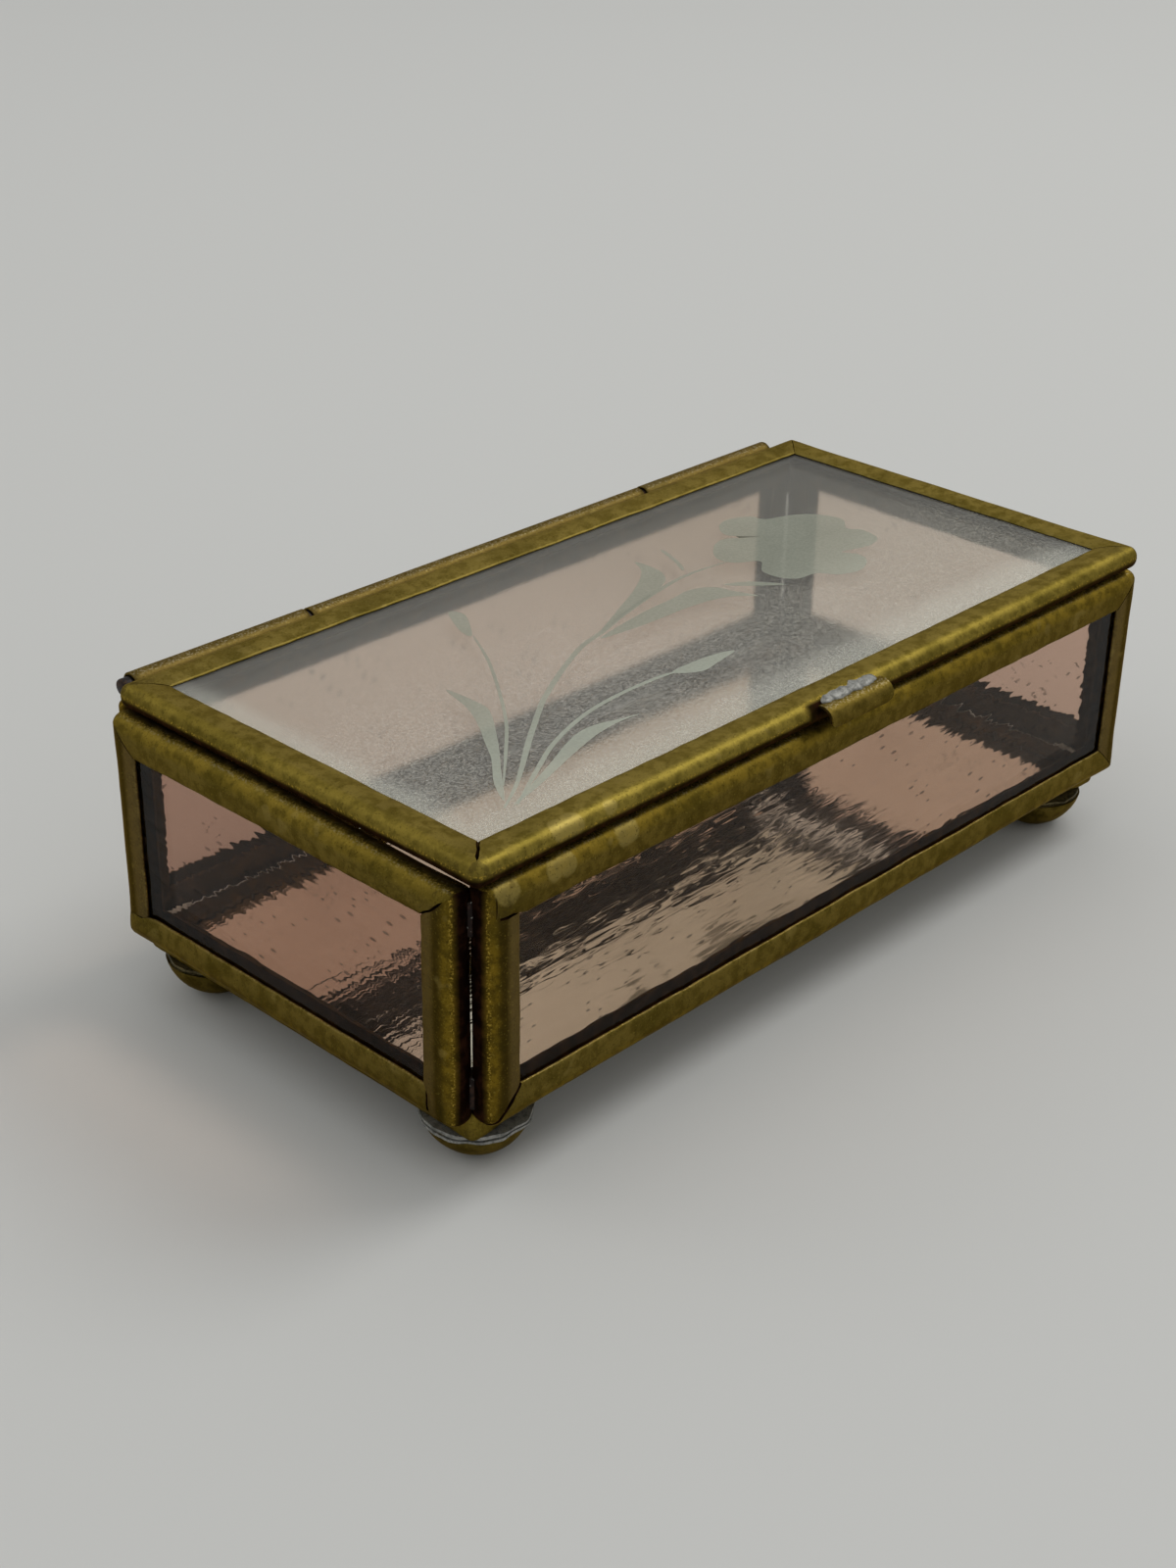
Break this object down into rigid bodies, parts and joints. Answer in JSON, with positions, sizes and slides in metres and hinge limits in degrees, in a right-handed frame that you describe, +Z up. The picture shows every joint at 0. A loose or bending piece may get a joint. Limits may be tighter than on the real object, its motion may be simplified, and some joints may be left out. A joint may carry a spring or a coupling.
{
  "type": "glass casket box",
  "caption": "Small casket of brass-framed glass with a mirrored floor, an etched flower on its rod-hinged lid, a curled lift tab and domed feet.",
  "frame": {"origin": "under the middle of the box's outline, on the plane that its feet stand on", "axes": "+X along the front panel to the right, +Y to the rear, where the hinge is, +Z up"},
  "size_m": [0.107, 0.0558, 0.0357],
  "materials": {
    "aged_brass": "aged olive-gold, rubbed bright on the edges",
    "rod": "dark tarnish",
    "solder": "dull lumpy tin-lead solder",
    "wall_glass": "clear glass with a dusty rose cast",
    "etched_glass": "clear glass with a frosted etched flower",
    "mirror": "slightly uneven silvered glass"
  },
  "bodies": {
    "box": {"front_frame": "aged_brass", "rear_frame": "aged_brass", "left_frame": "aged_brass", "right_frame": "aged_brass", "base_frame": "aged_brass", "front_glass": "wall_glass", "rear_glass": "wall_glass", "left_glass": "wall_glass", "right_glass": "wall_glass", "base_mirror": "mirror", "corner_solder_front_left": "solder", "corner_solder_front_right": "solder", "corner_solder_rear_left": "solder", "corner_solder_rear_right": "solder", "base_seam_solder": "solder", "foot_front_left": "aged_brass", "foot_front_right": "aged_brass", "foot_rear_left": "aged_brass", "foot_rear_right": "aged_brass", "foot_solder_front_left": "solder", "foot_solder_front_right": "solder", "foot_solder_rear_left": "solder", "foot_solder_rear_right": "solder", "hinge_tube_middle": "aged_brass", "hinge_rod": "rod", "hinge_solder_box": "solder"},
    "lid": {"lid_frame": "aged_brass", "lid_glass_pane": "etched_glass", "hinge_tube_left": "aged_brass", "hinge_tube_right": "aged_brass", "hinge_solder_lid": "solder", "lift_tab": "aged_brass", "lift_tab_solder": "solder"}
  },
  "joints": [
    {"name": "lid_hinge", "type": "hinge", "parent": "box", "child": "lid", "pos_m": [0, 0.02627, 0.03415], "axis": [-1, 0, 0], "range_deg": [0, 200]}
  ]
}
